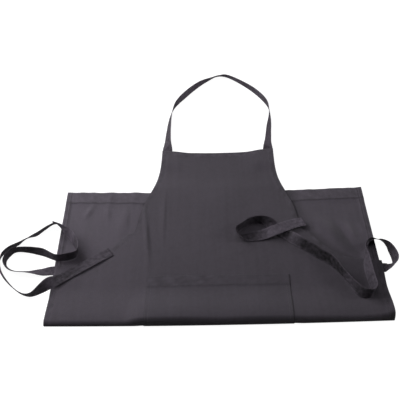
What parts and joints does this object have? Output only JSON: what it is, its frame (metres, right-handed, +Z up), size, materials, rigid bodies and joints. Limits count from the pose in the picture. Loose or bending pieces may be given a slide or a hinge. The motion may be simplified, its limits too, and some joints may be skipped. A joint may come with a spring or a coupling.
{
  "type": "kitchen apron",
  "caption": "Bib apron of dark grey cotton twill with a loop neck strap, long side ties and a wide front pocket, lying flat with its skirt folded under.",
  "frame": {"origin": "middle of the bounding box in plan, on the table surface that the apron lies on", "axes": "+Z up off the table, +Y from the fold at the front to the neck strap, +X to the right as seen from the fold"},
  "size_m": [0.8616, 0.8706, 0.0356],
  "materials": {
    "panel_cloth": "matte twill weave",
    "pocket_cloth": "matte twill weave",
    "strap_tape": "matte twill tape"
  },
  "bodies": {
    "root": {"apron_panel": "panel_cloth", "pocket": "pocket_cloth", "neck_strap": "strap_tape", "tie_left": "strap_tape", "tie_right": "strap_tape"}
  },
  "joints": []
}
